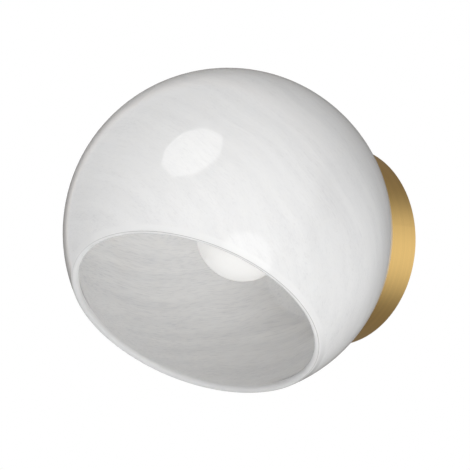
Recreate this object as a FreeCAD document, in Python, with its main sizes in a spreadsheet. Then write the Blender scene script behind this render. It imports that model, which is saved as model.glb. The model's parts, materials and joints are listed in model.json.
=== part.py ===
import FreeCAD, Part
import math
import os
import re
import Sketcher

# Wall sconce: an opal glass globe with a slanted mouth, nested in a shallow brass canopy.
#
# Millimetres. The origin is the centre of the back, on the wall. +Z is up, the wall is the
# plane Y = 0 and the light stands out from it along -Y. "Stand" is a distance from the wall.
# Most pieces are turned about the wall axis, so their outlines are pairs (radius, stand).

SIZES = [
    # glass globe
    ("globe_radius", 105.0, "outside radius of the glass ball"),
    ("glass", 5.0, "thickness of the glass"),
    ("seat_radius", 52.4, "edge of the flat seat at the back of the ball"),
    ("seat_corner", 5.0, "rounding where the flat seat meets the ball"),
    ("mouth_radius", 80.0, "radius of the lip, at the middle of the glass"),
    ("mouth_tilt", 56.0, "angle from the wall axis down to the mouth's axis"),
    ("fitter_gap", 1.0, "clearance of the hole in the glass round the lampholder"),
    # canopy
    ("canopy_radius", 66.5, "outside radius of the brass cup"),
    ("sheet", 1.2, "thickness of the brass"),
    ("cover_gap", 0.3, "air between the shelf and the screws of the terminal block"),
    ("dish_gap", 0.8, "air between the dish and the glass"),
    ("rim_round", 0.5, "rounding of the cup's front edge"),
    ("fit_gap", 0.3, "clearance of a loose fit"),
    ("thread_gap", 0.1, "clearance of a thread, drawn plain"),
    # lampholder
    ("sleeve_wall", 5.8, "porcelain round the bore, at the thread"),
    ("sleeve_length", 22.2, "thread, from the back of the shelf"),
    ("nose_wall", 4.2, "porcelain round the bore, at the plain nose"),
    ("nose_length", 8.0, "nose in front of the thread"),
    ("nose_round", 1.2, "rounding of the lampholder's mouth"),
    ("flange_lip", 4.0, "flange behind the shelf, beyond the sleeve"),
    ("flange_thick", 3.0, "thickness of the flange"),
    ("floor_rise", 1.4, "floor of the bore, from the back of the shelf"),
    ("floor_web", 0.8, "porcelain between the screw holes and that floor"),
    ("shell_gap", 0.4, "clearance of the bulb's cap in the screw shell"),
    ("shell_wall", 0.4, "thickness of the screw shell"),
    ("shell_inset", 3.0, "edge of the shell, inside the lampholder's mouth"),
    ("shell_margin", 1.8, "hole in the shell's floor, beyond the contact's foot"),
    ("base_radius", 16.0, "rear block with the terminals"),
    ("base_thick", 5.6, "thickness of the rear block"),
    ("base_screw_offset", 11.0, "assembly screws, from the axis"),
    ("base_screw_radius", 1.5, "shank of the assembly screws"),
    ("base_screw_head", 2.8, "head radius of the assembly screws"),
    ("base_screw_head_thick", 1.6, "head height of the assembly screws"),
    ("base_screw_spare", 0.4, "how far the assembly screws end short of their holes"),
    ("well_depth", 2.0, "wells over the heads of the assembly screws"),
    ("tongue_width", 6.0, "width of the centre contact"),
    ("tongue_thick", 0.6, "thickness of the centre contact"),
    ("tongue_reach", 4.2, "half length of the centre contact's foot"),
    ("tongue_rise", 3.5, "bulb's contact, in front of the lampholder's floor"),
    ("terminal_offset", 11.5, "terminal screws, from the axis"),
    ("terminal_web", 1.6, "porcelain between a terminal and the flange"),
    ("terminal_side", 7.0, "width of a terminal plate"),
    ("terminal_thick", 1.2, "thickness of a terminal plate"),
    ("terminal_head", 2.6, "head radius of a terminal screw"),
    ("terminal_head_thick", 2.0, "head height of a terminal screw"),
    ("terminal_shank", 1.5, "shank radius of a terminal screw"),
    ("terminal_bite", 0.8, "terminal screw beyond its plate"),
    # rings and gaskets
    ("lock_width", 5.75, "lock ring, from its thread to its outside"),
    ("lock_thick", 3.0, "thickness of the lock ring"),
    ("spanner_count", 4.0, "spanner notches round the lock ring"),
    ("ring_clear", 0.25, "radial clearance of the rings on the sleeve"),
    ("pad_clear", 1.5, "air between the lock ring and the rear gasket"),
    ("pad_margin", 2.6, "shelf left bare outside the rear gasket"),
    ("pad_thick", 4.0, "thickness of the rear gasket"),
    ("washer_lip", 0.5, "front gasket, beyond the shade ring"),
    ("washer_thick", 1.0, "thickness of the front gasket"),
    ("hub_wall", 4.75, "hub of the shade ring, round its thread"),
    ("ring_lip", 4.5, "flange of the shade ring, beyond its hub"),
    ("ring_flange", 2.6, "thickness of the shade ring's flange"),
    ("ring_slope", 1.6, "height of the slope from the flange to the hub"),
    ("ring_height", 8.0, "height of the shade ring"),
    ("grip_count", 24.0, "finger notches round the shade ring"),
    ("grip_radius", 1.6, "radius of a finger or spanner notch"),
    # mounting plate
    ("plate_gap", 5.3, "air between the edge of the mounting plate and the cup"),
    ("plate_thick", 2.0, "steel of the mounting plate"),
    ("entry_radius", 21.0, "wire entry in the plate"),
    ("slot_offset", 39.7, "centre of a fixing slot, from the axis"),
    ("slot_length", 25.0, "fixing slot, end to end"),
    ("slot_width", 5.0, "fixing slot"),
    ("ear_width", 16.0, "width of an ear"),
    ("ear_root", 9.0, "how far an ear's strip reaches into the plate"),
    ("ear_gap", 1.3, "air between an ear and the cup"),
    ("ear_margin", 6.0, "ear in front of the middle of its screw"),
    ("bend_radius", 1.5, "inside of the ear's bend"),
    ("side_screw_radius", 2.0, "shank of the side screws"),
    ("side_screw_head", 3.5, "head radius of the side screws"),
    ("side_screw_head_thick", 1.8, "head height of the side screws"),
    ("side_screw_end", 1.4, "side screw beyond its nut"),
    ("nut_flats", 7.0, "clinch nut across flats"),
    ("nut_thick", 3.0, "clinch nut"),
    ("bush_wall", 2.7, "edge bush inside the hole in the plate"),
    ("bush_lip", 2.5, "flange of the edge bush, beyond the hole"),
    ("bush_flange", 1.0, "thickness of the edge bush's flange"),
    # terminal block and earth
    ("block_wall", 1.4, "terminal block beside its outer poles"),
    ("block_depth", 16.0, "terminal block, along the wires"),
    ("block_thick", 8.5, "terminal block, off the plate"),
    ("block_gap", 6.5, "terminal block, from the edge bush"),
    ("pole_pitch", 9.0, "spacing of the poles"),
    ("tube_side", 5.0, "brass insert, square"),
    ("tube_inset", 1.5, "ends of a brass insert, inside the block"),
    ("wire_hole", 1.5, "wire hole radius"),
    ("clamp_well", 2.0, "well over a clamping screw"),
    ("clamp_radius", 1.3, "clamping screw"),
    ("clamp_head_thick", 1.2, "head height of a clamping screw"),
    ("clamp_bite", 1.2, "clamping screw inside its insert"),
    ("clamp_pitch", 7.0, "the two clamping screws of a pole"),
    ("block_screw_radius", 1.25, "shank of the block's fixing screws"),
    ("block_screw_head", 1.9, "head radius of the block's fixing screws"),
    ("block_screw_head_thick", 1.0, "head height of the block's fixing screws"),
    ("screw_tip", 0.3, "how far a screw in the plate ends short of the wall"),
    ("lead_radius", 1.2, "lead over its insulation"),
    ("lead_gap", 0.2, "between the end of a lead's insulation and the metal"),
    ("lead_clear", 0.7, "air between the leads and the edge bush"),
    ("lead_turn", 3.0, "where a lead turns, inside the edge of the rear block"),
    ("lead_run", 6.0, "straight run of a lead before the block"),
    ("lead_sway", 1.1, "sideways bow of the live lead"),
    ("earth_offset", 32.0, "earth screw, sideways from the axis"),
    ("earth_clear", 0.9, "air between the bend of the earth lead and the edge bush"),
    ("earth_bend", 4.1, "bend of the earth lead, each way"),
    ("earth_screw_radius", 2.0, "shank of the earth screw"),
    ("earth_screw_head", 3.6, "head radius of the earth screw"),
    ("earth_screw_head_thick", 2.4, "head height of the earth screw"),
    ("lug_radius", 4.2, "ring of the earth lug"),
    ("lug_thick", 0.8, "thickness of the earth lug"),
    ("lug_reach", 12.0, "end of the lug's barrel, from its screw"),
    ("barrel_length", 6.0, "barrel of the earth lug"),
    ("barrel_radius", 1.9, "barrel of the earth lug"),
    ("spring_washer_thick", 0.8, "washer under the earth screw"),
    # bulb
    ("bulb_length", 107.0, "bulb from contact to crown"),
    ("ball_radius", 30.0, "ball of the bulb"),
    ("bulb_taper", 20.0, "half angle of the bulb's neck"),
    ("bulb_wall", 1.2, "wall of the opal envelope"),
    ("joint_length", 52.0, "bulb from contact to the envelope's edge"),
    ("housing_lip", 0.6, "housing beyond the cap, where they meet"),
    ("housing_plug", 9.0, "housing inside the cap"),
    ("housing_curve", 107.0, "radius of the curve of the housing's side"),
    ("cap_length", 27.0, "bulb from contact to the top of its cap"),
    ("cap_radius", 13.1, "outside of the cap's thread"),
    ("cap_wall", 0.5, "wall of the cap"),
    ("cap_shoulder", 9.3, "radius at the bottom of the cap"),
    ("cap_cone", 6.8, "bulb from contact to the cap's straight part"),
    ("insulator_length", 4.0, "bulb from contact to the bottom of the cap"),
    ("insulator_plug", 3.0, "insulator inside the cap"),
    ("contact_radius", 4.8, "radius of the bulb's contact"),
    ("contact_length", 1.4, "height of the bulb's contact"),
    ("board_gap", 2.5, "air round the board with the diodes"),
    ("board_thick", 1.6, "thickness of that board"),
    ("diode_count", 8.0, "diodes on the board"),
    ("diode_margin", 6.5, "middle of the diodes, from the board's edge"),
    ("diode_side", 3.0, "a diode"),
    ("diode_thick", 0.8, "thickness of a diode"),
]

NAMES = [row[0] for row in SIZES]
ORIGIN_PLANES = {"across": "XY_Plane", "front": "XZ_Plane", "side": "YZ_Plane"}
ACROSS = FreeCAD.Vector(1, 0, 0)
OUTWARDS = FreeCAD.Vector(0, 1, 0)
UPWARDS = FreeCAD.Vector(0, 0, 1)
OVERRUN = " 1"  # how far a cut runs past a face
SLOT_SHARE = " * 0.14"  # half the width of a screw's slot, as a share of its head's radius
HALF_HEAD = " / 2"  # depth of that slot, as a share of the head's height
PARTS = []

document = FreeCAD.newDocument("wall_sconce")
sheet = document.addObject("Spreadsheet::Sheet", "Sizes")


# ---- formulas that several pieces share ----

# the stack of stands, from the wall outwards
BLOCK_FRONT = "(plate_thick + block_thick)"
SHELF_STAND = "(" + BLOCK_FRONT + " + block_screw_head_thick + cover_gap)"
SHELF_FRONT = "(" + SHELF_STAND + " + sheet)"
GLASS_BACK = "(" + SHELF_FRONT + " + pad_thick)"
GLASS_FRONT = "(" + GLASS_BACK + " + glass)"
WASHER_FRONT = "(" + GLASS_FRONT + " + washer_thick)"
GLOBE_STAND = "(" + GLASS_BACK + " + sqrt(globe_radius^2 - seat_radius^2))"

# globe and canopy
INNER_GLOBE = "(globe_radius - glass)"
MIDDLE = "(globe_radius - glass / 2)"
LIP_DEPTH = "sqrt(" + MIDDLE + "^2 - mouth_radius^2)"
DISH_FRONT = "(globe_radius + dish_gap)"
DISH_BACK = "(globe_radius + dish_gap + sheet)"
CANOPY_INNER = "(canopy_radius - sheet)"

# lampholder and its rings
SHELL_RADIUS = "(cap_radius + shell_gap)"
BORE = "(" + SHELL_RADIUS + " + shell_wall + fit_gap)"
SLEEVE_RADIUS = "(" + BORE + " + sleeve_wall)"
NOSE_RADIUS = "(" + BORE + " + nose_wall)"
SLEEVE_STAND = "(" + SHELF_STAND + " + sleeve_length)"
NOSE_STAND = "(" + SLEEVE_STAND + " + nose_length)"
SOCKET_FLOOR = "(" + SHELF_STAND + " + floor_rise)"
FLANGE_BACK = "(" + SHELF_STAND + " - flange_thick)"
BASE_BACK = "(" + FLANGE_BACK + " - base_thick)"
TERMINAL_FLOOR = "(" + FLANGE_BACK + " - terminal_web)"
TERMINAL_FRONT = "(" + TERMINAL_FLOOR + " - terminal_thick)"
RING_HOLE = "(" + SLEEVE_RADIUS + " + ring_clear)"
LOCK_RADIUS = "(" + RING_HOLE + " + lock_width)"
RING_HUB = "(" + RING_HOLE + " + hub_wall)"
RING_RADIUS = "(" + RING_HUB + " + ring_lip)"

# mounting plate and what it carries
PLATE_RADIUS = "(" + CANOPY_INNER + " - plate_gap)"
EAR_REACH = "(" + CANOPY_INNER + " - ear_gap)"
SIDE_SCREW_STAND = "(plate_thick + bend_radius + nut_flats / 2)"
BUSH_OUTER = "(entry_radius + bush_lip)"
BLOCK_BASE = "(" + BUSH_OUTER + " + block_gap)"
BLOCK_MIDDLE = "(" + BLOCK_BASE + " + block_depth / 2)"
TUBE_STAND = "(plate_thick + block_thick / 2)"
EARTH_ACROSS = "(-earth_offset)"
EARTH_UP = ("sqrt((" + BUSH_OUTER + " + lead_radius + earth_clear)^2"
            " - (pole_pitch + earth_bend)^2)")

# bulb
TIP_STAND = "(" + SOCKET_FLOOR + " + tongue_rise)"
CROWN_STAND = "(" + TIP_STAND + " + bulb_length)"
BALL_STAND = "(" + CROWN_STAND + " - ball_radius)"
TANGENT_RADIUS = "(ball_radius * cos(bulb_taper))"
TANGENT_STAND = "(" + BALL_STAND + " - ball_radius * sin(bulb_taper))"
JOINT_STAND = "(" + TIP_STAND + " + joint_length)"
CAP_TOP = "(" + TIP_STAND + " + cap_length)"
CAP_INNER = "(cap_radius - cap_wall)"
JOINT_RADIUS = ("(" + TANGENT_RADIUS + " - (" + TANGENT_STAND + " - " + JOINT_STAND + ")"
                " * tan(bulb_taper))")
JOINT_INNER = "(" + JOINT_RADIUS + " - bulb_wall / cos(bulb_taper))"


def sphere_radius_at(sphere, stand):
    """Radius at which a sphere about the globe's centre crosses a plane parallel to the wall."""
    return "sqrt(" + sphere + "^2 - (" + GLOBE_STAND + " - " + stand + ")^2)"


def sphere_stand_at(sphere, radius):
    """Stand at which a sphere about the globe's centre has this radius, on its wall side."""
    return GLOBE_STAND + " - sqrt(" + sphere + "^2 - " + radius + "^2)"


# ---- sheet, sketches and features ----

def fill_sheet():
    for row, (name, amount, meaning) in enumerate(SIZES, start=1):
        sheet.set("A%d" % row, meaning)
        sheet.set("B%d" % row, str(amount))
        sheet.setAlias("B%d" % row, name)
    document.recompute()


def formula(text):
    """The formula with each size name pointed at its cell."""
    def cell(match):
        word = match.group(0)
        return "Sizes." + word if word in NAMES else word
    return re.sub(r"\b[a-z][a-z_]*\b(?!\()", cell, text)


def number(text):
    return float(sheet.evalExpression(formula(text)))


def bind(target, prop, text):
    target.setExpression(prop, formula(text))


def new_body(label):
    made = document.addObject("PartDesign::Body", label)
    made.Label = label
    return made


def new_sketch(body, name, plane, offset=None):
    """A sketch on one of the body's origin planes, or moved off it by a bound distance."""
    sketch = body.newObject("Sketcher::SketchObject", name)
    role = ORIGIN_PLANES[plane]
    support = [entry for entry in body.Origin.OriginFeatures if entry.Role == role][0]
    sketch.AttachmentSupport = [(support, "")]
    sketch.MapMode = "FlatFace"
    if offset:
        sketch.AttachmentOffset = FreeCAD.Placement()
        bind(sketch, "AttachmentOffset.Base.z", offset)
    return sketch


def arc_between(start, end, radius, turn):
    """The short arc from start to end, turning left for +1 and right for -1."""
    chord = end - start
    half = chord.Length / 2
    rise = math.sqrt(max(radius * radius - half * half, 0.0))
    left = FreeCAD.Vector(-chord.y, chord.x, 0).normalize()
    centre = (start + end) * 0.5 + left * (rise * turn)
    first, last = (start, end) if turn > 0 else (end, start)
    low = math.atan2(first.y - centre.y, first.x - centre.x)
    high = math.atan2(last.y - centre.y, last.x - centre.x)
    circle = Part.Circle(centre, UPWARDS, radius)
    return Part.ArcOfCircle(circle, low, high)


def fix_point(sketch, edge, end, corner):
    for kind, text in (("DistanceX", corner[0]), ("DistanceY", corner[1])):
        rule = Sketcher.Constraint(kind, -1, 1, edge, end, number(text))
        index = sketch.addConstraint(rule)
        bind(sketch, "Constraints[%d]" % index, text)


def draw_outline(sketch, corners):
    """Draw a closed outline. A corner is (x, y), or (x, y, radius, turn) where the edge that
    leaves it is an arc of that radius."""
    spots = [FreeCAD.Vector(number(corner[0]), number(corner[1]), 0) for corner in corners]
    edges = []
    for spot, corner in enumerate(corners):
        start = spots[spot]
        end = spots[(spot + 1) % len(spots)]
        if len(corner) == 2:
            edge = sketch.addGeometry(Part.LineSegment(start, end), False)
            edges.append((edge, 1, 2))
        else:
            turn = corner[3]
            edge = sketch.addGeometry(arc_between(start, end, number(corner[2]), turn), False)
            edges.append((edge, 1, 2) if turn > 0 else (edge, 2, 1))
            index = sketch.addConstraint(Sketcher.Constraint("Radius", edge, number(corner[2])))
            bind(sketch, "Constraints[%d]" % index, corner[2])
    for spot, corner in enumerate(corners):
        before = edges[spot - 1]
        here = edges[spot]
        sketch.addConstraint(Sketcher.Constraint("Coincident", before[0], before[2], here[0], here[1]))
        fix_point(sketch, here[0], here[1], corner)


def draw_circle(sketch, x, y, radius):
    centre = FreeCAD.Vector(number(x), number(y), 0)
    circle = Part.Circle(centre, UPWARDS, number(radius))
    edge = sketch.addGeometry(circle, False)
    index = sketch.addConstraint(Sketcher.Constraint("Radius", edge, number(radius)))
    bind(sketch, "Constraints[%d]" % index, radius)
    fix_point(sketch, edge, 3, (x, y))


def rectangle(x_low, x_high, y_low, y_high):
    return [(x_low, y_low), (x_high, y_low), (x_high, y_high), (x_low, y_high)]


def square_about(x, y, half):
    return rectangle(x + " - " + half, x + " + " + half, y + " - " + half, y + " + " + half)


def away(corners):
    """Turn corners given as (radius, stand) into sketch corners, where -Y is away from the wall."""
    flipped = []
    for corner in corners:
        spot = (corner[0], "-(" + corner[1] + ")")
        flipped.append(spot if len(corner) == 2 else spot + (corner[2], -corner[3]))
    return flipped


def turn_sketch(body, name, sketch, kind="PartDesign::Revolution"):
    """Turn a sketch about its own upright axis."""
    feature = body.newObject(kind, name)
    feature.Profile = sketch
    feature.ReferenceAxis = (sketch, ["V_Axis"])
    feature.Angle = 360
    document.recompute()
    return feature


def revolve(body, name, corners, kind="PartDesign::Revolution"):
    """Turn an outline of (radius, stand) corners about the wall axis."""
    sketch = new_sketch(body, name + "_outline", "across")
    draw_outline(sketch, away(corners))
    return turn_sketch(body, name, sketch, kind)


def pad(body, name, sketch, length, both_ways=False):
    feature = body.newObject("PartDesign::Pad", name)
    feature.Profile = sketch
    feature.Midplane = both_ways
    bind(feature, "Length", length)
    document.recompute()
    return feature


def cut(body, name, sketch, depth=None):
    """Cut a sketch away from the wall side of its plane, or right through both ways."""
    before = body.Shape.Volume
    feature = body.newObject("PartDesign::Pocket", name)
    feature.Profile = sketch
    if depth:
        feature.Type = "Length"
        bind(feature, "Length", depth)
    else:
        feature.Type = "ThroughAll"
        feature.Midplane = True
    document.recompute()
    if not body.Shape.Volume < before:
        raise RuntimeError(name + " cuts nothing")
    return feature


def cut_band(body, name, corners, low, high):
    """Cut an outline of (across, up) corners out of the stretch between two stands."""
    sketch = new_sketch(body, name + "_outline", "front", high)
    draw_outline(sketch, corners)
    return cut(body, name, sketch, "(" + high + ") - (" + low + ")")


def cut_holes(body, name, spots, radius, low, high):
    """Drill holes of one radius, each at (across, up), between two stands."""
    sketch = new_sketch(body, name + "_outline", "front", high)
    for across, up in spots:
        draw_circle(sketch, across, up, radius)
    return cut(body, name, sketch, "(" + high + ") - (" + low + ")")


def repeat_round(body, name, feature, axis_sketch, count):
    """Repeat a feature round the wall axis."""
    pattern = body.newObject("PartDesign::PolarPattern", name)
    pattern.Originals = [feature]
    pattern.Axis = (axis_sketch, ["N_Axis"])
    pattern.Angle = 360
    pattern.Occurrences = int(number(count))
    bind(pattern, "Occurrences", count)
    body.Tip = pattern
    document.recompute()
    return pattern


def round_edges(body, name, radius, chosen):
    """Round the edges that the test picks."""
    base = body.Tip
    picked = []
    for index, edge in enumerate(base.Shape.Edges, start=1):
        if chosen(edge):
            picked.append("Edge%d" % index)
    if not picked:
        raise RuntimeError(name + " finds no edge")
    feature = body.newObject("PartDesign::Fillet", name)
    feature.Base = (base, picked)
    bind(feature, "Radius", radius)
    document.recompute()
    return feature


def is_ring(edge, radius, stand):
    """True for a full circle about the wall axis with this radius and stand."""
    if edge.Degenerated or not isinstance(edge.Curve, Part.Circle):
        return False
    centre = edge.Curve.Center
    near = abs(edge.Curve.Radius - radius) < 0.01 and abs(centre.y + stand) < 0.01
    return near and math.hypot(centre.x, centre.z) < 0.01


def turned(label, corners):
    """A piece turned about the wall axis in one go."""
    body = new_body(label)
    revolve(body, label + "_turning", corners)
    return body


def keep(piece):
    """Put a finished piece on the list of those that are written."""
    PARTS.append(piece)
    return piece


def group(label, members):
    """Identical pieces that share one node."""
    compound = document.addObject("Part::Compound", label)
    compound.Label = label
    compound.Links = members
    return keep(compound)


def place(piece, axis, angle, x, y, z):
    """Turn a piece about an axis through its own origin, then move it to a bound place."""
    piece.Placement = FreeCAD.Placement(FreeCAD.Vector(), FreeCAD.Rotation(axis, angle))
    for letter, text in (("x", x), ("y", y), ("z", z)):
        bind(piece, "Placement.Base." + letter, text)


def slotted_screw(label, head, head_thick, shank, length):
    """A screw along its own Z: the head's underside is at zero and the shank goes down."""
    body = new_body(label)
    sketch = new_sketch(body, label + "_half", "front")
    tip = "-(" + length + ")"
    draw_outline(sketch, [
        ("0", tip), (shank, tip), (shank, "0"), (head, "0"), (head, head_thick), ("0", head_thick),
    ])
    turn_sketch(body, label + "_turning", sketch)
    slot = new_sketch(body, label + "_slot", "front")
    half = "(" + head + SLOT_SHARE + ")"
    draw_outline(slot, rectangle("-" + half, half, head_thick + HALF_HEAD, head_thick + " +" + OVERRUN))
    cut(body, label + "_cut", slot)
    return body


# ---- glass globe ----

def glass_globe():
    """A blown ball with a slanted mouth, a rolled lip, and a flat seat with a hole at its back."""
    body = new_body("glass_globe")
    sketch = new_sketch(body, "meridian", "side")
    sketch.AttachmentOffset = FreeCAD.Placement(FreeCAD.Vector(), FreeCAD.Rotation(UPWARDS, 1))
    bind(sketch, "AttachmentOffset.Base.x", "-" + GLOBE_STAND)
    bind(sketch, "AttachmentOffset.Rotation.Angle", "90 + mouth_tilt")
    outer_share = " * globe_radius / " + MIDDLE
    inner_share = " * " + INNER_GLOBE + " / " + MIDDLE
    lip_lean = "glass / 2 * " + LIP_DEPTH + " / " + MIDDLE
    lip_rise = "glass / 2 * mouth_radius / " + MIDDLE
    draw_outline(sketch, [
        ("0", "-globe_radius", "globe_radius", 1),
        ("mouth_radius" + outer_share, LIP_DEPTH + outer_share, "glass / 2", 1),
        ("mouth_radius - " + lip_lean, LIP_DEPTH + " + " + lip_rise, "glass / 2", 1),
        ("mouth_radius" + inner_share, LIP_DEPTH + inner_share, INNER_GLOBE, -1),
        ("0", "-" + INNER_GLOBE),
    ])
    turn_sketch(body, "ball", sketch)
    before = body.Shape.Volume
    revolve(body, "flat", rectangle("0", "globe_radius", "-globe_radius", GLASS_BACK), "PartDesign::Groove")
    if not body.Shape.Volume < before:
        raise RuntimeError("the flat cuts nothing")
    hole = "(" + SLEEVE_RADIUS + " + fitter_gap)"
    inner_edge = sphere_radius_at(INNER_GLOBE, GLASS_FRONT)
    middle_edge = "(" + inner_edge + " + seat_radius) / 2"
    revolve(body, "seat", rectangle(hole, middle_edge, GLASS_BACK, GLASS_FRONT))
    outer_spot = (number("seat_radius"), number(GLASS_BACK))
    inner_spot = (number(inner_edge), number(GLASS_FRONT))
    round_edges(body, "seat_rounding", "seat_corner",
                lambda edge: is_ring(edge, *outer_spot) or is_ring(edge, *inner_spot))
    return keep(body)


# ---- canopy ----

def canopy():
    """A spun cup whose front turns in as a dish that nests the globe, down to a flat shelf."""
    hole = "(" + SLEEVE_RADIUS + " + fit_gap)"
    rim_stand = sphere_stand_at(DISH_FRONT, "canopy_radius")
    body = turned("canopy", [
        ("canopy_radius", "0"),
        ("canopy_radius", rim_stand, DISH_FRONT, -1),
        (sphere_radius_at(DISH_FRONT, SHELF_FRONT), SHELF_FRONT),
        (hole, SHELF_FRONT),
        (hole, SHELF_STAND),
        (sphere_radius_at(DISH_BACK, SHELF_STAND), SHELF_STAND, DISH_BACK, 1),
        (CANOPY_INNER, sphere_stand_at(DISH_BACK, CANOPY_INNER)),
        (CANOPY_INNER, "0"),
    ])
    rim = (number("canopy_radius"), number(rim_stand))
    round_edges(body, "rim_rounding", "rim_round", lambda edge: is_ring(edge, *rim))
    holes = new_sketch(body, "side_holes_outline", "across")
    draw_circle(holes, "0", "-" + SIDE_SCREW_STAND, "side_screw_radius + fit_gap")
    cut(body, "side_holes", holes)
    return keep(body)


def canopy_screws():
    """Two screws through the canopy's wall into the ears, at the top and the bottom."""
    members = []
    length = "thread_gap + sheet + ear_gap + plate_thick + nut_thick + side_screw_end"
    for name, sign, turn in (("upper", "", 0), ("lower", "-", 180)):
        screw = slotted_screw("canopy_screw_" + name, "side_screw_head", "side_screw_head_thick",
                              "side_screw_radius", length)
        seat = sign + "(canopy_radius + thread_gap)"
        place(screw, ACROSS, turn, "0", "-" + SIDE_SCREW_STAND, seat)
        members.append(screw)
    return group("canopy_screws", members)


# ---- mounting plate ----

def slot_outline(sign):
    """A fixing slot with round ends, on the left for "-" and on the right for "+"."""
    half = "slot_width / 2"
    middle = sign + "slot_offset"
    straight = "(slot_length / 2 - slot_width / 2)"
    low = middle + " - " + straight
    high = middle + " + " + straight
    return [
        (low, "-" + half),
        (high, "-" + half, half, 1),
        (high + " + " + half, "0", half, 1),
        (high, half),
        (low, half, half, 1),
        (low + " - " + half, "0", half, 1),
    ]


def mounting_plate():
    """A round steel plate with two slots for the wall box and two ears folded forward."""
    body = new_body("mounting_plate")
    disc = new_sketch(body, "disc_outline", "front")
    draw_circle(disc, "0", "0", PLATE_RADIUS)
    draw_circle(disc, "0", "0", "entry_radius")
    pad(body, "disc", disc, "plate_thick")
    ear = new_sketch(body, "ear_outline", "side")
    bend = "(bend_radius + plate_thick)"
    root = PLATE_RADIUS + " - ear_root"
    inner_face = EAR_REACH + " - plate_thick"
    ear_edge = "-(" + SIDE_SCREW_STAND + " + ear_margin)"
    draw_outline(ear, [
        ("0", root),
        ("-plate_thick", root),
        ("-plate_thick", EAR_REACH + " - " + bend, "bend_radius", 1),
        ("-" + bend, inner_face),
        (ear_edge, inner_face),
        (ear_edge, EAR_REACH),
        ("-" + bend, EAR_REACH, bend, -1),
        ("0", EAR_REACH + " - " + bend),
    ])
    folded = pad(body, "ear", ear, "ear_width", both_ways=True)
    repeat_round(body, "ears", folded, disc, "2")
    drill = new_sketch(body, "ear_holes_outline", "across")
    draw_circle(drill, "0", "-" + SIDE_SCREW_STAND, "side_screw_radius + fit_gap")
    cut(body, "ear_holes", drill)
    for name, sign in (("left", "-"), ("right", "+")):
        slot = new_sketch(body, name + "_slot_outline", "front")
        draw_outline(slot, slot_outline(sign))
        cut(body, name + "_slot", slot)
    beyond = "plate_thick +" + OVERRUN
    cut_holes(body, "earth_hole", [(EARTH_ACROSS, EARTH_UP)], "earth_screw_radius + thread_gap",
              "-" + OVERRUN, beyond)
    cut_holes(body, "block_holes", block_screw_spots(), "block_screw_radius + thread_gap",
              "-" + OVERRUN, beyond)
    return keep(body)


def ear_nuts():
    """Hexagon clinch nuts on the inner faces of the ears."""
    members = []
    corner = "(nut_flats / sqrt(3))"
    for name, sign, turn in (("upper", "", 0), ("lower", "-", 180)):
        nut = new_body("ear_nut_" + name)
        sketch = new_sketch(nut, "nut_outline_" + name, "across")
        draw_outline(sketch, [(corner + " * cos(%d)" % angle, corner + " * sin(%d)" % angle)
                              for angle in range(0, 360, 60)])
        draw_circle(sketch, "0", "0", "side_screw_radius + thread_gap")
        pad(nut, "nut_" + name, sketch, "nut_thick")
        seat = sign + "(" + EAR_REACH + " - plate_thick - nut_thick)"
        place(nut, ACROSS, turn, "0", "-" + SIDE_SCREW_STAND, seat)
        members.append(nut)
    return group("ear_nuts", members)


def entry_bush():
    """A plastic bush round the edge of the wire entry, flush with the back of the plate."""
    barrel = "(entry_radius - thread_gap)"
    hole = "(" + barrel + " - bush_wall)"
    front = "plate_thick + bush_flange"
    return keep(turned("entry_bush", [
        (hole, "0"), (hole, front), (BUSH_OUTER, front), (BUSH_OUTER, "plate_thick"),
        (barrel, "plate_thick"), (barrel, "0"),
    ]))


# ---- lampholder ----

def base_screw_spots():
    return [("0", "base_screw_offset"), ("0", "-base_screw_offset")]


def lampholder_body():
    """A porcelain sleeve, threaded outside, whose flange sits behind the shelf."""
    flange = "(" + SLEEVE_RADIUS + " + flange_lip)"
    body = turned("lampholder_body", [
        ("0", FLANGE_BACK),
        (flange, FLANGE_BACK),
        (flange, SHELF_STAND),
        (SLEEVE_RADIUS, SHELF_STAND),
        (SLEEVE_RADIUS, SLEEVE_STAND),
        (NOSE_RADIUS, SLEEVE_STAND),
        (NOSE_RADIUS, NOSE_STAND),
        (BORE, NOSE_STAND),
        (BORE, SOCKET_FLOOR),
        ("0", SOCKET_FLOOR),
    ])
    rims = (number(NOSE_RADIUS), number(BORE))
    mouth = number(NOSE_STAND)
    round_edges(body, "nose_rounding", "nose_round",
                lambda edge: is_ring(edge, rims[0], mouth) or is_ring(edge, rims[1], mouth))
    cut_holes(body, "screw_holes", base_screw_spots(), "base_screw_radius + thread_gap",
              FLANGE_BACK + " -" + OVERRUN, SOCKET_FLOOR + " - floor_web")
    return keep(body)


def lampholder_base():
    """The rear block: counterbored for its screws and cut away round the two terminals."""
    body = turned("lampholder_base", rectangle("0", "base_radius", BASE_BACK, FLANGE_BACK))
    behind = BASE_BACK + " -" + OVERRUN
    cut_holes(body, "shank_holes", base_screw_spots(), "base_screw_radius + fit_gap",
              behind, FLANGE_BACK + " +" + OVERRUN)
    cut_holes(body, "head_wells", base_screw_spots(), "base_screw_head + fit_gap",
              behind, BASE_BACK + " + well_depth")
    low = "-(terminal_side / 2 + fit_gap)"
    near = "(terminal_offset - terminal_side / 2 - fit_gap)"
    far = "(base_radius +" + OVERRUN + ")"
    for name, left, right in (("live", near, far), ("neutral", "-" + far, "-" + near)):
        cut_band(body, name + "_recess", rectangle(left, right, low, far), behind, TERMINAL_FLOOR)
    cut_holes(body, "terminal_holes", [("terminal_offset", "0"), ("-terminal_offset", "0")],
              "terminal_shank + thread_gap", behind, TERMINAL_FLOOR + " + terminal_bite + thread_gap")
    return keep(body)


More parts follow.
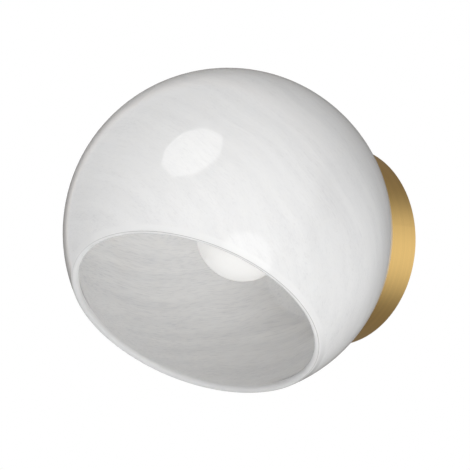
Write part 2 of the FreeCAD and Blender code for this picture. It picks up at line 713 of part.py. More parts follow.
def terminals():
    """Two brass plates on the floors of the recesses, each with its screw."""
    plates = []
    screws = []
    for name, sign in (("live", ""), ("neutral", "-")):
        middle = sign + "terminal_offset"
        plate = new_body("terminal_" + name)
        sketch = new_sketch(plate, "terminal_outline_" + name, "front", TERMINAL_FRONT)
        draw_outline(sketch, square_about(middle, "0", "terminal_side / 2"))
        draw_circle(sketch, middle, "0", "terminal_shank + thread_gap")
        pad(plate, "terminal_pad_" + name, sketch, "terminal_thick")
        plates.append(plate)
        screw = slotted_screw("terminal_screw_" + name, "terminal_head", "terminal_head_thick",
                              "terminal_shank", "terminal_thick + terminal_bite")
        place(screw, ACROSS, -90, middle, "-" + TERMINAL_FRONT, "0")
        screws.append(screw)
    return group("lampholder_terminals", plates), group("terminal_screws", screws)


def base_screws():
    """Two long screws that hold the rear block to the sleeve."""
    members = []
    under_head = "(" + BASE_BACK + " + well_depth)"
    hole_end = "(" + SOCKET_FLOOR + " - floor_web)"
    for name, sign in (("upper", ""), ("lower", "-")):
        screw = slotted_screw("base_screw_" + name, "base_screw_head", "base_screw_head_thick",
                              "base_screw_radius", hole_end + " - base_screw_spare - " + under_head)
        place(screw, ACROSS, -90, "0", "-" + under_head, sign + "base_screw_offset")
        members.append(screw)
    return group("lampholder_screws", members)


def lampholder_shell():
    """The screw shell, a thin brass cup with an open floor."""
    outer = "(" + SHELL_RADIUS + " + shell_wall)"
    hole = "(tongue_reach + shell_margin)"
    inside_floor = SOCKET_FLOOR + " + shell_wall"
    edge = NOSE_STAND + " - shell_inset"
    return keep(turned("lampholder_shell", [
        (hole, SOCKET_FLOOR), (outer, SOCKET_FLOOR), (outer, edge), (SHELL_RADIUS, edge),
        (SHELL_RADIUS, inside_floor), (hole, inside_floor),
    ]))


def lampholder_contact():
    """The centre contact, a strip bent back over its own foot to press on the bulb."""
    body = new_body("lampholder_contact")
    sketch = new_sketch(body, "strip_outline", "side")
    floor = "-" + SOCKET_FLOOR
    foot = "-(" + SOCKET_FLOOR + " + tongue_thick)"
    crest = "-(" + TIP_STAND + " - fit_gap)"
    inside = "(tongue_reach - tongue_thick)"
    draw_outline(sketch, [
        (floor, "-tongue_reach"),
        (foot, "-tongue_reach"),
        (foot, inside),
        (crest + " + tongue_thick", inside + " - tongue_thick"),
        (crest + " + tongue_thick", "-tongue_reach / 2"),
        (crest, "-tongue_reach / 2"),
        (crest, inside),
        (floor, "tongue_reach"),
    ])
    pad(body, "strip", sketch, "tongue_width", both_ways=True)
    return keep(body)


# ---- rings and gaskets ----

def lock_ring():
    """The thin nut that clamps the lampholder to the shelf."""
    front = SHELF_FRONT + " + lock_thick"
    ring = turned("lock_ring", rectangle(RING_HOLE, LOCK_RADIUS, SHELF_FRONT, front))
    notch = cut_holes(ring, "spanner_notch", [(LOCK_RADIUS, "0")], "grip_radius",
                      SHELF_FRONT + " -" + OVERRUN, front + " +" + OVERRUN)
    repeat_round(ring, "spanner_notches", notch, notch.Profile[0], "spanner_count")
    return keep(ring)


def seat_gasket():
    """The pad between the shelf and the glass."""
    inner = "(" + LOCK_RADIUS + " + pad_clear)"
    outer = "(" + sphere_radius_at(DISH_FRONT, SHELF_FRONT) + " - pad_margin)"
    return keep(turned("seat_gasket", rectangle(inner, outer, SHELF_FRONT, GLASS_BACK)))


def ring_gasket():
    """The washer between the glass and the shade ring."""
    inner = "(" + SLEEVE_RADIUS + " + fit_gap)"
    outer = "(" + RING_RADIUS + " + washer_lip)"
    return keep(turned("ring_gasket", rectangle(inner, outer, GLASS_FRONT, WASHER_FRONT)))


def shade_ring():
    """The threaded ring that holds the globe, notched for the fingers."""
    front = WASHER_FRONT + " + ring_height"
    body = turned("shade_ring", [
        (RING_HOLE, WASHER_FRONT),
        (RING_RADIUS, WASHER_FRONT),
        (RING_RADIUS, WASHER_FRONT + " + ring_flange"),
        (RING_HUB, WASHER_FRONT + " + ring_flange + ring_slope"),
        (RING_HUB, front),
        (RING_HOLE, front),
    ])
    notch = cut_holes(body, "finger_notch", [(RING_RADIUS + " + grip_radius / 2", "0")], "grip_radius",
                      WASHER_FRONT + " -" + OVERRUN, front + " +" + OVERRUN)
    repeat_round(body, "finger_notches", notch, notch.Profile[0], "grip_count")
    return keep(body)


# ---- bulb ----

def bulb_envelope():
    """The opal ball and its tapering neck, open at the bottom."""
    inner_ball = "(ball_radius - bulb_wall)"
    inner_tangent = "(" + inner_ball + " * cos(bulb_taper))"
    inner_stand = "(" + BALL_STAND + " - " + inner_ball + " * sin(bulb_taper))"
    return keep(turned("bulb_envelope", [
        ("0", CROWN_STAND, "ball_radius", -1),
        (TANGENT_RADIUS, TANGENT_STAND),
        (JOINT_RADIUS, JOINT_STAND),
        (JOINT_INNER, JOINT_STAND),
        (inner_tangent, inner_stand, inner_ball, 1),
        ("0", CROWN_STAND + " - bulb_wall"),
    ]))


def bulb_housing():
    """The plastic body between the cap and the envelope, with a plug inside the cap."""
    plug_radius = CAP_INNER + " - fit_gap"
    plug_end = CAP_TOP + " - housing_plug"
    return keep(turned("bulb_housing", [
        ("0", plug_end),
        (plug_radius, plug_end),
        (plug_radius, CAP_TOP),
        ("cap_radius + housing_lip", CAP_TOP, "housing_curve", 1),
        (JOINT_RADIUS, JOINT_STAND),
        ("0", JOINT_STAND),
    ]))


def bulb_board():
    """The round board on the housing, and the diodes on it."""
    board_radius = "(" + JOINT_INNER + " - board_gap)"
    front = "(" + JOINT_STAND + " + board_thick)"
    keep(turned("bulb_board", rectangle("0", board_radius, JOINT_STAND, front)))
    offset = "(" + board_radius + " - diode_margin)"
    count = int(number("diode_count"))
    diodes = []
    for index in range(count):
        diode = new_body("diode_%d" % index)
        sketch = new_sketch(diode, "diode_outline_%d" % index, "front", front)
        draw_outline(sketch, square_about(offset, "0", "diode_side / 2"))
        pad(diode, "diode_pad_%d" % index, sketch, "diode_thick")
        place(diode, OUTWARDS, 360.0 * index / count, "0", "0", "0")
        diodes.append(diode)
    return group("bulb_diodes", diodes)


def bulb_cap():
    """The screw cap, a thin cup that narrows to its insulator."""
    bottom = "(" + TIP_STAND + " + insulator_length)"
    straight = "(" + TIP_STAND + " + cap_cone)"
    return keep(turned("bulb_cap", [
        ("cap_shoulder", bottom),
        ("cap_radius", straight),
        ("cap_radius", CAP_TOP),
        (CAP_INNER, CAP_TOP),
        (CAP_INNER, straight + " + cap_wall"),
        ("cap_shoulder - cap_wall", bottom + " + cap_wall"),
        ("cap_shoulder - cap_wall", bottom),
    ]))


def bulb_tip():
    """The insulator in the bottom of the cap, and the domed contact on it."""
    bottom = "(" + TIP_STAND + " + insulator_length)"
    dome_edge = TIP_STAND + " + contact_length"
    plug_radius = "cap_shoulder - cap_wall - thread_gap"
    keep(turned("bulb_insulator", [
        ("0", dome_edge),
        ("contact_radius", dome_edge),
        (plug_radius, bottom),
        (plug_radius, bottom + " + insulator_plug"),
        ("0", bottom + " + insulator_plug"),
    ]))
    dome = "((contact_radius^2 + contact_length^2) / (2 * contact_length))"
    return keep(turned("bulb_contact", [
        ("0", TIP_STAND, dome, 1),
        ("contact_radius", dome_edge),
        ("0", dome_edge),
    ]))


# ---- terminal block, earth and leads ----

def pole_places():
    return (("earth", "-pole_pitch"), ("neutral", "0"), ("live", "pole_pitch"))


def block_screw_spots():
    return [("-pole_pitch / 2", BLOCK_MIDDLE), ("pole_pitch / 2", BLOCK_MIDDLE)]


def clamp_heights():
    return (("near", BLOCK_MIDDLE + " - clamp_pitch / 2"), ("far", BLOCK_MIDDLE + " + clamp_pitch / 2"))


def terminal_block():
    """A three pole block on the plate, with square channels for its brass inserts."""
    body = new_body("terminal_block")
    outline = new_sketch(body, "block_outline", "front", "plate_thick")
    side = "(pole_pitch + tube_side / 2 + thread_gap + block_wall)"
    draw_outline(outline, rectangle("-" + side, side, BLOCK_BASE, BLOCK_BASE + " + block_depth"))
    pad(body, "block", outline, "block_thick")
    channels = new_sketch(body, "channels_outline", "across")
    for _, across in pole_places():
        draw_outline(channels, square_about(across, "-" + TUBE_STAND, "(tube_side / 2 + thread_gap)"))
    cut(body, "channels", channels)
    wells = [(across, up) for _, across in pole_places() for _, up in clamp_heights()]
    beyond = BLOCK_FRONT + " +" + OVERRUN
    cut_holes(body, "wells", wells, "clamp_well", TUBE_STAND, beyond)
    cut_holes(body, "fixing_holes", block_screw_spots(), "block_screw_radius + thread_gap",
              "plate_thick -" + OVERRUN, beyond)
    return keep(body)


def block_inserts():
    """The brass tubes of the three poles and their clamping screws."""
    tubes = []
    screws = []
    tube_front = TUBE_STAND + " + tube_side / 2"
    for name, across in pole_places():
        tube = new_body("insert_" + name)
        sketch = new_sketch(tube, "insert_outline_" + name, "across", BLOCK_BASE + " + tube_inset")
        draw_outline(sketch, square_about(across, "-" + TUBE_STAND, "tube_side / 2"))
        draw_circle(sketch, across, "-" + TUBE_STAND, "wire_hole")
        pad(tube, "insert_pad_" + name, sketch, "block_depth - 2 * tube_inset")
        spots = [(across, up) for _, up in clamp_heights()]
        cut_holes(tube, "insert_holes_" + name, spots, "clamp_radius", TUBE_STAND,
                  tube_front + " +" + OVERRUN)
        tubes.append(tube)
        for which, up in clamp_heights():
            screw = slotted_screw("clamp_" + name + "_" + which, "(clamp_radius + fit_gap)",
                                  "clamp_head_thick", "clamp_radius - thread_gap", "clamp_bite")
            place(screw, ACROSS, 90, across, "-(" + tube_front + ")", up)
            screws.append(screw)
    return group("block_inserts", tubes), group("block_clamp_screws", screws)


def block_screws():
    """Two screws between the poles, into the plate."""
    members = []
    for name, (across, up) in zip(("left", "right"), block_screw_spots()):
        screw = slotted_screw("block_screw_" + name, "block_screw_head", "block_screw_head_thick",
                              "block_screw_radius", BLOCK_FRONT + " - screw_tip")
        place(screw, ACROSS, 90, across, "-" + BLOCK_FRONT, up)
        members.append(screw)
    return group("block_screws", members)


def earth_lug():
    """A ring lug on the plate whose barrel holds the end of the earth lead."""
    body = new_body("earth_lug")
    ring = new_sketch(body, "ring_outline", "front", "plate_thick")
    draw_circle(ring, EARTH_ACROSS, EARTH_UP, "lug_radius")
    draw_circle(ring, EARTH_ACROSS, EARTH_UP, "earth_screw_radius + fit_gap")
    pad(body, "ring", ring, "lug_thick")
    tongue = new_sketch(body, "tongue_outline", "front", "plate_thick")
    barrel_start = EARTH_ACROSS + " + lug_reach - barrel_length"
    tongue_start = EARTH_ACROSS + " + (earth_screw_radius + lug_radius) / 2"
    draw_outline(tongue, rectangle(tongue_start, barrel_start + " + barrel_length / 2",
                                   EARTH_UP + " - barrel_radius", EARTH_UP + " + barrel_radius"))
    pad(body, "tongue", tongue, "lug_thick")
    barrel = new_sketch(body, "barrel_outline", "side", barrel_start)
    draw_circle(barrel, "-(plate_thick + barrel_radius)", EARTH_UP, "barrel_radius")
    pad(body, "barrel", barrel, "barrel_length")
    return keep(body)


def earth_fixing():
    """The earth screw and the washer between its head and the lug."""
    washer = new_body("earth_washer")
    sketch = new_sketch(washer, "washer_outline", "front", "plate_thick + lug_thick")
    draw_circle(sketch, EARTH_ACROSS, EARTH_UP, "lug_radius")
    draw_circle(sketch, EARTH_ACROSS, EARTH_UP, "earth_screw_radius + fit_gap")
    pad(washer, "washer", sketch, "spring_washer_thick")
    keep(washer)
    under_head = "(plate_thick + lug_thick + spring_washer_thick)"
    screw = slotted_screw("earth_screw", "earth_screw_head", "earth_screw_head_thick",
                          "earth_screw_radius", under_head + " - screw_tip")
    place(screw, ACROSS, 90, EARTH_ACROSS, "-" + under_head, EARTH_UP)
    return keep(screw)


def rounded_path(points):
    """Straight runs joined by tangent arcs, each as large as its two runs allow."""
    share = 0.45
    edges = []
    last = points[0]
    for before, corner, after in zip(points, points[1:], points[2:]):
        into = (corner - before).normalize()
        out = (after - corner).normalize()
        trim = share * min((corner - before).Length, (after - corner).Length)
        start = corner - into * trim
        end = corner + out * trim
        turn = into.getAngle(out)
        radius = trim / math.tan(turn / 2)
        inwards = (out - into).normalize()
        middle = corner + inwards * (radius / math.cos(turn / 2) - radius)
        edges.append(Part.LineSegment(last, start).toShape())
        edges.append(Part.Arc(start, middle, end).toShape())
        last = end
    edges.append(Part.LineSegment(last, points[-1]).toShape())
    return Part.Wire(edges)


def lead(label, points):
    """An insulated lead along points given as formulas (across, stand, up)."""
    spots = [FreeCAD.Vector(number(across), -number(stand), number(up)) for across, stand, up in points]
    path = rounded_path(spots)
    radius = number("lead_radius")
    ring = Part.Wire([Part.Circle(spots[0], spots[1] - spots[0], radius).toShape()])
    shape = path.makePipeShell([ring], True, True)
    expected = math.pi * radius * radius * path.Length
    if abs(shape.Volume - expected) > 0.01 * expected:
        raise RuntimeError(label + " has the wrong volume")
    feature = document.addObject("Part::Feature", label)
    feature.Label = label
    feature.Shape = shape
    feature.Placement = FreeCAD.Placement()
    return keep(feature)


def leads():
    """Live, neutral and earth, from the lampholder and the plate into the block."""
    at_terminal = "(" + TERMINAL_FRONT + " - lead_radius + thread_gap)"
    over_bush = "(plate_thick + bush_flange + lead_radius + lead_clear)"
    start = "terminal_side / 2 + lead_gap"
    turn = "base_radius - lead_turn"
    before_block = BLOCK_BASE + " - lead_run"
    end = BLOCK_BASE + " + tube_inset - lead_gap"
    lead("live_lead", [
        ("terminal_offset", at_terminal, start),
        ("terminal_offset + lead_sway", over_bush, turn),
        ("pole_pitch", TUBE_STAND, before_block),
        ("pole_pitch", TUBE_STAND, end),
    ])
    lead("neutral_lead", [
        ("-terminal_offset", at_terminal, start),
        ("-terminal_offset", over_bush, turn),
        ("0", TUBE_STAND, before_block),
        ("0", TUBE_STAND, end),
    ])
    barrel_stand = "plate_thick + barrel_radius"
    lead("earth_lead", [
        ("-pole_pitch", TUBE_STAND, end),
        ("-pole_pitch", TUBE_STAND, EARTH_UP + " + earth_bend"),
        ("-pole_pitch - earth_bend", barrel_stand, EARTH_UP),
        (EARTH_ACROSS + " + lug_reach", barrel_stand, EARTH_UP),
    ])


def build():
    fill_sheet()
    glass_globe()
    canopy()
    canopy_screws()
    mounting_plate()
    ear_nuts()
    entry_bush()
    lampholder_body()
    lampholder_base()
    terminals()
    base_screws()
    lampholder_shell()
    lampholder_contact()
    lock_ring()
    seat_gasket()
    ring_gasket()
    shade_ring()
    bulb_envelope()
    bulb_housing()
    bulb_board()
    bulb_cap()
    bulb_tip()
    terminal_block()
    block_inserts()
    block_screws()
    earth_lug()
    earth_fixing()
    leads()
    document.recompute()


def check():
    """Stop before anything is written if an object failed or a piece is not a sound solid."""
    for entry in document.Objects:
        for word in ("Invalid", "Error"):
            if word in entry.State:
                raise RuntimeError(entry.Label + " is " + word)
    for piece in PARTS:
        shape = piece.Shape
        if shape.isNull() or not shape.isValid() or not shape.Solids:
            raise RuntimeError(piece.Label + " is not a valid solid")


def write():
    os.makedirs("parts", exist_ok=True)
    for piece in PARTS:
        piece.Shape.exportStep(os.path.join("parts", piece.Label + ".step"))


build()
check()
write()
print("pieces:", len(PARTS), "solids:", sum(len(piece.Shape.Solids) for piece in PARTS))
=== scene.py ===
"""Studio picture of the wall sconce: opal glass globe, satin brass canopy, bulb and lampholder."""
import json
import math

import bpy
import bmesh
from mathutils import Matrix, Quaternion, Vector


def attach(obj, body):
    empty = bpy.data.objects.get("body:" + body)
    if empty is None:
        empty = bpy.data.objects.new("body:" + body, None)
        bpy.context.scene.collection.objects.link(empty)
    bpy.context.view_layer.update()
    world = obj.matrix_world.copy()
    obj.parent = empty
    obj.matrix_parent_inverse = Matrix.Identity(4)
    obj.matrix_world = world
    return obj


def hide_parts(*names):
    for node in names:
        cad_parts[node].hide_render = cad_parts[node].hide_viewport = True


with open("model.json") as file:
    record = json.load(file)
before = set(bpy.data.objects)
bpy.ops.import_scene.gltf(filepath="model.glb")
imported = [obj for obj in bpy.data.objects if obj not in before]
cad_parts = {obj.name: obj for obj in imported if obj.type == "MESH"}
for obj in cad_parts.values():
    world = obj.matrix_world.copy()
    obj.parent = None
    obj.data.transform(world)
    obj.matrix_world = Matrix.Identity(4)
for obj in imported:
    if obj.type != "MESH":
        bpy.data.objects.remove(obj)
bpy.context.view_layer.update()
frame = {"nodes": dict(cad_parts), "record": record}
nodes = frame["nodes"]

MM = 0.001

# The wall axis is Y, and the light stands out along -Y. The mouth's axis is tilted down from it.
GLOBE_CENTRE = Vector((0, -107.99, 0)) * MM
MOUTH_TILT = math.radians(56)

# Distances from the globe's centre between which the inner face of the glass becomes the outer.
INNER_FACE, OUTER_FACE = 101.5 * MM, 103.5 * MM

# Heights along the mouth's axis between which the wall of the glass becomes its lip.
WALL_ENDS, LIP_BEGINS = 62.2 * MM, 63.6 * MM

# The middle of the lip's round section: its distance from the mouth's axis and its height along it.
LIP_RADIUS, LIP_HEIGHT = 80 * MM, 64.08 * MM

# The lip's fine dark line of painted shade, in radians round that section from straight outward towards the
# front.
LINE_FADES_IN, LINE_FADES_OUT = (1.02, 1.10), (1.22, 1.30)

# Strengths of what gives light: the fills are in watts.
LEVEL = {
    "room": 0.33,
    "backdrop": 1.0,
    "floor": 0.45,
    "upper": 3.4,
    "lower": 2.6,
    "wall": 0.21,
    "side": 0.98,
    "under_fill": 4.7,
    "right_fill": 2.6,
    "back_fill": 3.0,
    # Painted light: a faint glow on the bulb's ball.
    "bulb": 0.16,
}
WHITE = (1.0, 1.0, 1.0)

SOFTBOX_SIDES = 8
FLOOR_REACH = 60
FLOOR_HEIGHT = -2.3

# The rolled screw cap: radii from the wall axis and places along it.
CREST, ROOT, SKIRT_INSIDE, CAP_HOLE = 13.1 * MM, 12.7 * MM, 12.6 * MM, 8.8 * MM
PITCH = 3.629 * MM
THREAD_FRONT, THREAD_BACK, SKIRT_RIM, CAP_BACK = -40.4 * MM, -24.3 * MM, -43.7 * MM, -20.7 * MM


# ---------------------------------------------------------------- nodes

def new_material(name):
    material = bpy.data.materials.new(name)
    material.use_nodes = True
    return material


def add_node(tree, kind, **settings):
    """A new node of a material, a world or a group, with its settings."""
    node = tree.nodes.new(kind)
    for label, value in settings.items():
        setattr(node, label, value)
    return node


def any_ray(tree, *kinds):
    """1 for a ray of any of these kinds, and 0 for the rest."""
    path = add_node(tree, "ShaderNodeLightPath")
    found = path.outputs[kinds[0]]
    for kind in kinds[1:]:
        either = add_node(tree, "ShaderNodeMath", operation="MAXIMUM")
        tree.links.new(found, either.inputs[0])
        tree.links.new(path.outputs[kind], either.inputs[1])
        found = either.outputs[0]
    return found


# ---------------------------------------------------------------- the studio

def stand_camera():
    """The photographer stands to the right of the light, a little below it."""
    place = Vector((1.0404, -1.2546, -0.2891))
    aim = Vector((0.0031, -0.1048, -0.0017))
    roll = Quaternion((0, 0, 1), math.radians(-4.75))
    lens = bpy.data.cameras.new("studio_camera")
    lens.sensor_width = 36
    lens.lens = 189.35
    lens.clip_start = 0.05
    camera = bpy.data.objects.new("studio_camera", lens)
    camera.rotation_mode = "QUATERNION"
    camera.rotation_quaternion = (aim - place).to_track_quat("-Z", "Y") @ roll
    camera.location = place
    bpy.context.collection.objects.link(camera)
    bpy.context.scene.camera = camera


def glowing_front(name, colour, strength):
    """The front of a lamp or card, with the same glow all over."""
    material = new_material(name)
    tree = material.node_tree
    tree.nodes.clear()
    glow = add_node(tree, "ShaderNodeEmission")
    glow.inputs["Color"].default_value = (*colour, 1)
    glow.inputs["Strength"].default_value = strength
    output = add_node(tree, "ShaderNodeOutputMaterial")
    tree.links.new(glow.outputs[0], output.inputs["Surface"])
    return material


def fading_front(name, colour, centre, near, far, middle, edge):
    """A glow that changes smoothly outward from its middle, so that no edge shows in the glass."""
    material = glowing_front(name, colour, middle)
    tree = material.node_tree
    place = add_node(tree, "ShaderNodeTexCoord")
    away = add_node(tree, "ShaderNodeVectorMath", operation="DISTANCE")
    away.inputs[1].default_value = centre
    tree.links.new(place.outputs["Object"], away.inputs[0])
    fade = add_node(tree, "ShaderNodeMapRange", interpolation_type="SMOOTHSTEP")
    for label, value in (("From Min", near), ("From Max", far), ("To Min", middle), ("To Max", edge)):
        fade.inputs[label].default_value = value
    tree.links.new(away.outputs["Value"], fade.inputs["Value"])
    tree.links.new(fade.outputs["Result"], tree.nodes["Emission"].inputs["Strength"])
    return material


def studio_card(name, front, sides, radius, place, facing, turn=0, reflected_only=False):
    """A flat lamp front, wall or reflector, which the camera itself never sees."""
    shape = bmesh.new()
    bmesh.ops.create_circle(shape, cap_ends=True, segments=sides, radius=radius)
    bmesh.ops.rotate(shape, verts=shape.verts, matrix=Matrix.Rotation(turn, 3, "Z"))
    aim = Vector(facing).to_track_quat("Z", "Y").to_matrix()
    bmesh.ops.rotate(shape, verts=shape.verts, matrix=aim)
    bmesh.ops.translate(shape, verts=shape.verts, vec=place)
    card = finished_object(name, shape, front)
    card.visible_camera = False
    if reflected_only:
        card.visible_diffuse = False
        card.visible_shadow = False
        card.visible_transmission = False


def finished_object(name, shape, material, sharp=None):
    """Makes an object of a bmesh, which is used up."""
    mesh = bpy.data.meshes.new(name)
    shape.to_mesh(mesh)
    shape.free()
    if sharp is not None:
        mesh.set_sharp_from_angle(angle=sharp)
    mesh.materials.append(material)
    made = bpy.data.objects.new(name, mesh)
    bpy.context.collection.objects.link(made)
    return made


def hang_fill(name, place, size):
    """A broad soft lamp that doesn't show in the glass."""
    lamp = bpy.data.lights.new(name, "AREA")
    lamp.shape = "DISK"
    lamp.size = size
    lamp.energy = LEVEL[name]
    lamp.specular_factor = 0
    fill = bpy.data.objects.new(name, lamp)
    fill.location = place
    fill.rotation_euler = (Vector(place) - GLOBE_CENTRE).to_track_quat("Z", "Y").to_euler()
    fill.visible_glossy = False
    bpy.context.collection.objects.link(fill)


def light_studio():
    """Two eight-sided softboxes, as their reflections in the glass show, two cards and three fills."""
    softbox_white = (1.0, 0.995, 0.985)
    upper = glowing_front("upper_softbox_front", softbox_white, LEVEL["upper"])
    lower = glowing_front("lower_softbox_front", softbox_white, LEVEL["lower"])
    studio_card("upper_softbox", upper, SOFTBOX_SIDES, radius=0.528, place=(0.238, -1.069, 1.130),
                facing=(-0.585, 0.701, -0.407), turn=2.916)
    studio_card("lower_softbox", lower, SOFTBOX_SIDES, radius=0.537, place=(1.075, -0.919, -0.749),
                facing=(-0.704, 0.573, 0.420), turn=-1.183)

    wall = (-0.7, 0.85, 0)
    shaded = fading_front("shaded_wall", (1.0, 0.93, 0.88), wall, 1.2, 3.3, LEVEL["wall"], LEVEL["backdrop"])
    studio_card("wall_behind", shaded, sides=48, radius=3.4, place=wall, facing=(0, -1, 0),
                reflected_only=True)

    side = (0.46, 0.42, -0.12)
    reach = 0.62
    white = fading_front("side_reflector_front", WHITE, side, 0.05, reach, LEVEL["side"], LEVEL["wall"])
    studio_card("side_reflector", white, sides=32, radius=reach, place=side, facing=(-0.66, -0.70, 0.15),
                reflected_only=True)

    hang_fill("under_fill", (0.42, -0.80, -0.98), 1.2)
    hang_fill("right_fill", (1.35, 0.05, -0.45), 1.0)
    hang_fill("back_fill", (-1.0, 1.15, 0.15), 1.0)


def paint_room():
    """A soft room lights the object. The camera, reflections and clear pieces show a white one."""
    world = bpy.data.worlds.new("white_room")
    bpy.context.scene.world = world
    world.use_nodes = True
    tree = world.node_tree
    tree.nodes.clear()
    mix = add_node(tree, "ShaderNodeMixShader")
    shown = any_ray(tree, "Is Camera Ray", "Is Glossy Ray", "Is Transmission Ray")
    tree.links.new(shown, mix.inputs["Fac"])
    for slot, colour, level in ((1, (0.985, 0.99, 1.0), "room"), (2, WHITE, "backdrop")):
        paint = add_node(tree, "ShaderNodeBackground")
        paint.inputs["Color"].default_value = (*colour, 1)
        paint.inputs["Strength"].default_value = LEVEL[level]
        tree.links.new(paint.outputs[0], mix.inputs[slot])
    output = add_node(tree, "ShaderNodeOutputWorld")
    tree.links.new(mix.outputs[0], output.inputs["Surface"])


def pale_floor():
    """Pale as the camera and reflections see it, with the shadow kept, and no brighter as a lamp."""
    finish = Finish("pale_floor", (0.86, 0.86, 0.86), 0.9)
    lift = add_node(finish.tree, "ShaderNodeMath", operation="MULTIPLY")
    lift.inputs[1].default_value = LEVEL["floor"]
    finish.tree.links.new(any_ray(finish.tree, "Is Camera Ray", "Is Glossy Ray"), lift.inputs[0])
    finish.put("Emission Color", (*WHITE, 1))
    finish.link(lift.outputs[0], "Emission Strength")
    return finish.material


def lay_floor():
    """The floor of the room, as far below as under a real wall light."""
    shape = bmesh.new()
    bmesh.ops.create_grid(shape, x_segments=1, y_segments=1, size=FLOOR_REACH)
    bmesh.ops.translate(shape, verts=shape.verts, vec=(0, 0, FLOOR_HEIGHT))
    floor = finished_object("floor", shape, pale_floor())


# ---------------------------------------------------------------- what finishes are made of

class Finish:
    """One material: its surface and what feeds it."""

    def __init__(self, name, colour, roughness, metallic=0.0, ior=1.5):
        self.material = new_material(name)
        self.tree = self.material.node_tree
        self.surface = self.tree.nodes["Principled BSDF"]
        self.relief = None
        self.put("Base Color", (*colour, 1))
        self.put("Roughness", roughness)
        self.put("Metallic", metallic)
        self.put("IOR", ior)

    def put(self, socket, value):
        self.surface.inputs[socket].default_value = value

    def link(self, source, socket):
        self.tree.links.new(source, self.surface.inputs[socket])

    def effect(self, group, **values):
        """Places a shared effect and gives it this finish's own values."""
        place = add_node(self.tree, "ShaderNodeTexCoord")
        made = add_node(self.tree, "ShaderNodeGroup", node_tree=group)
        for label, value in values.items():
            made.inputs[label.replace("_", " ")].default_value = value
        self.tree.links.new(place.outputs["Object"], made.inputs["Place"])
        return made.outputs

    def bump(self, height, strength, depth):
        """Relief on the surface. A second relief goes under the first."""
        made = add_node(self.tree, "ShaderNodeBump")
        made.inputs["Strength"].default_value = strength
        made.inputs["Distance"].default_value = depth
        self.tree.links.new(height, made.inputs["Height"])
        above = self.surface if self.relief is None else self.relief
        self.tree.links.new(made.outputs["Normal"], above.inputs["Normal"])
        self.relief = made

    def let_light_in(self, weight, depth, reach):
        """Light that enters the surface and leaves it near by, with the reach of its three colours."""
        self.put("Subsurface Weight", weight)
        self.put("Subsurface Scale", depth)
        self.put("Subsurface Radius", reach)


COLOUR = "NodeSocketColor"
VALUE = "NodeSocketFloat"


